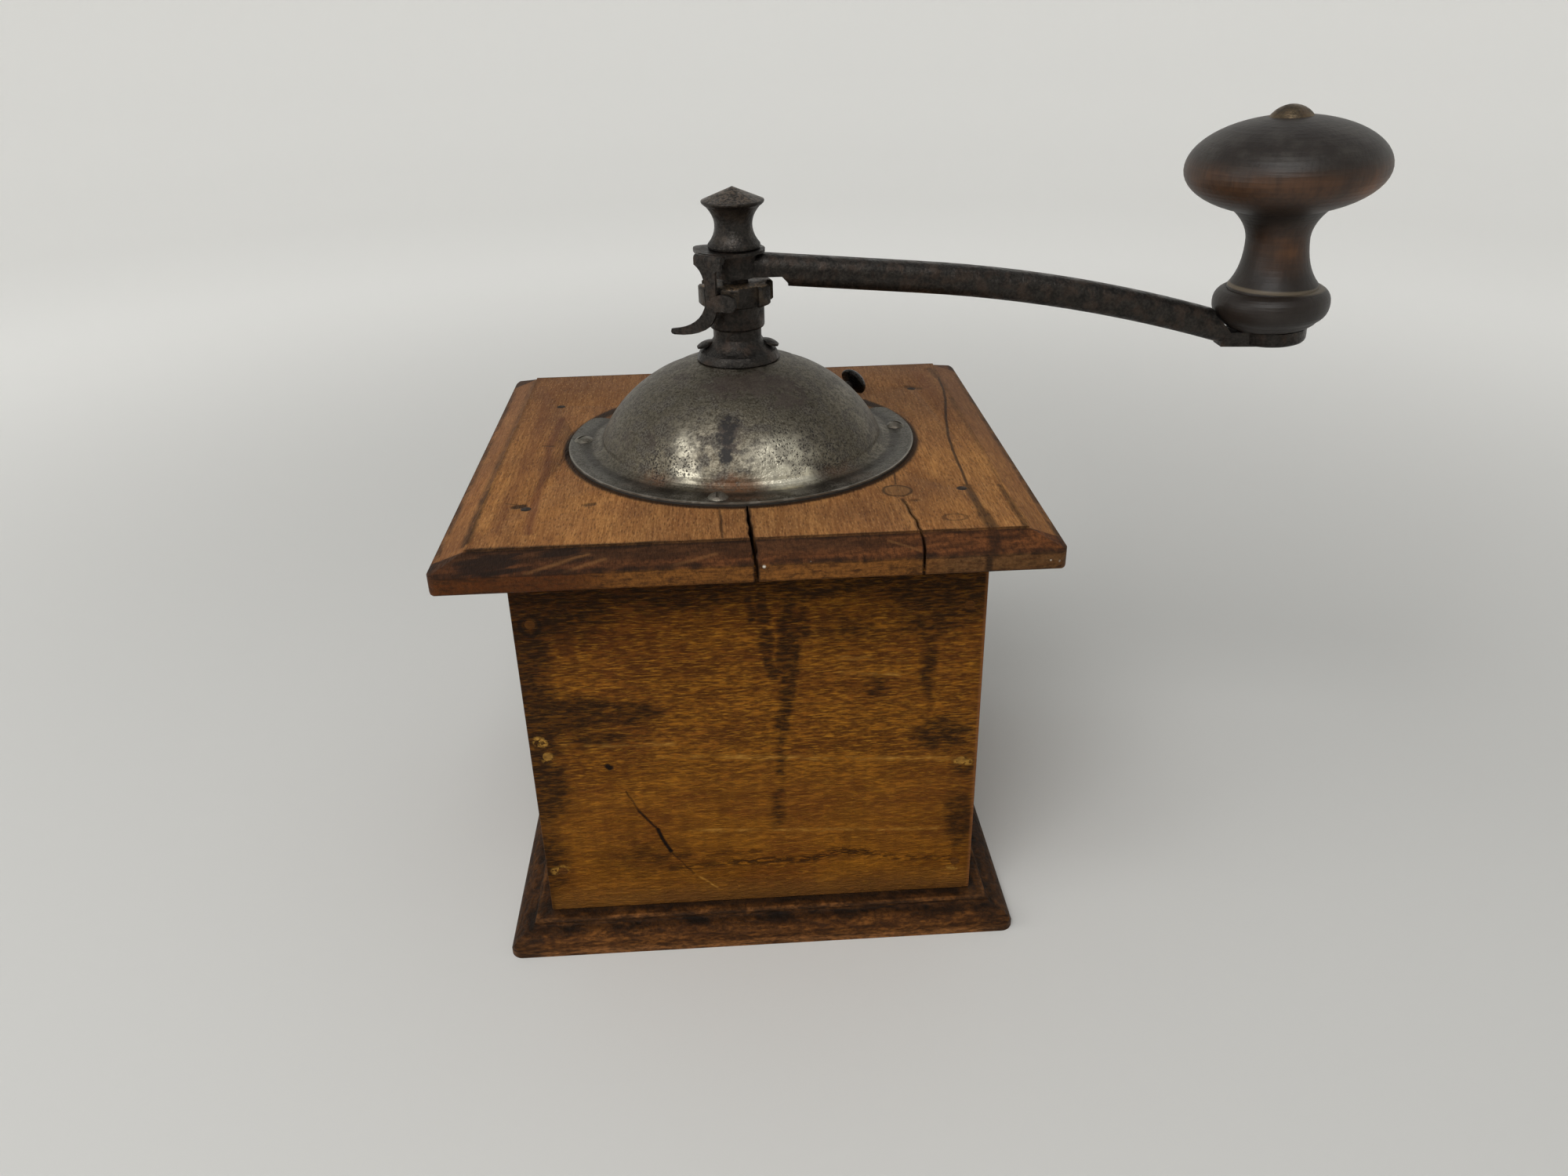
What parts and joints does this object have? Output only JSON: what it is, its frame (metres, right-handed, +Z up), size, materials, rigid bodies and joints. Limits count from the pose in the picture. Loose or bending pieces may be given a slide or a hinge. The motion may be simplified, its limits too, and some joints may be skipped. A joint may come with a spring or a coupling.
{
  "type": "box coffee grinder",
  "caption": "Hand coffee grinder: square wooden box with a drawer, domed iron hopper with a turning door, notched adjusting nut and a bowed crank with a turned knob.",
  "frame": {"origin": "middle of the plinth's underside, on the spindle's axis", "axes": "+Z up along the spindle, +X along the crank at rest, +Y out of the face with the drawer"},
  "size_m": [0.2481, 0.152, 0.2109],
  "materials": {
    "plinth_wood": "aged oil finish",
    "wall_wood": "aged varnish",
    "board_wood": "aged varnish",
    "inner_wood": "bare",
    "turned_wood": "dark varnish",
    "nail_iron": "rusty",
    "dome_sheet": "worn, pitted",
    "dark_iron": "satin",
    "screw_steel": "worn",
    "burr_iron": "machined"
  },
  "bodies": {
    "case": {"base_board": "plinth_wood", "front_wall": "wall_wood", "back_wall": "wall_wood", "left_wall": "wall_wood", "right_wall": "wall_wood", "left_runner": "inner_wood", "right_runner": "inner_wood", "chute_board": "inner_wood", "top_board": "board_wood", "wall_nails": "nail_iron", "top_nails": "nail_iron", "base_screws": "nail_iron", "hopper_dome": "dome_sheet", "bearing_collar": "dark_iron", "collar_rivets": "dark_iron", "flange_screws": "screw_steel", "inner_arch": "dark_iron", "arch_screws": "dark_iron", "grinding_ring": "burr_iron", "lower_bridge": "dark_iron", "ring_screws": "dark_iron"},
    "adjuster": {"adjuster_nut": "dark_iron"},
    "spindle": {"spindle_shaft": "dark_iron", "burr_cone": "burr_iron", "cone_nut": "dark_iron", "crank_arm": "dark_iron", "pawl_washer": "dark_iron", "finial_nut": "dark_iron", "handle_pin": "screw_steel"},
    "pawl": {"pawl_spring": "dark_iron"},
    "knob": {"handle_knob": "turned_wood"},
    "shutter": {"shutter_leaf": "dome_sheet", "shutter_knob": "dark_iron"},
    "drawer": {"drawer_front": "wall_wood", "drawer_left_side": "inner_wood", "drawer_right_side": "inner_wood", "drawer_back": "inner_wood", "drawer_floor": "inner_wood", "drawer_pull": "turned_wood", "pull_screw": "dark_iron"}
  },
  "joints": [
    {"name": "crank_turn", "type": "hinge", "parent": "case", "child": "adjuster", "pos_m": [0, 0, 0.16459], "axis": [0, 0, 1], "continuous": true},
    {"name": "grind_set", "type": "slide", "parent": "adjuster", "child": "spindle", "axis": [0, 0, 1], "range_m": [-0.0015, 0.0006]},
    {"name": "pawl_press", "type": "hinge", "parent": "spindle", "child": "pawl", "pos_m": [-0.00694, -0.00827, 0.17779], "axis": [-0.766, 0.6428, 0], "range_deg": [0, 12], "stiffness_Nm_per_rad": 0.03, "springref_deg": -5.73},
    {"name": "handle_spin", "type": "hinge", "parent": "spindle", "child": "knob", "pos_m": [0.1495, 0, 0.15258], "axis": [-0.0523, 0, 0.9986], "continuous": true},
    {"name": "shutter_turn", "type": "hinge", "parent": "case", "child": "shutter", "pos_m": [0, 0, 0.14549], "axis": [0, 0, 1], "range_deg": [0, 104]},
    {"name": "drawer_slide", "type": "slide", "parent": "case", "child": "drawer", "axis": [0, 1, 0], "range_m": [0, 0.085]}
  ]
}
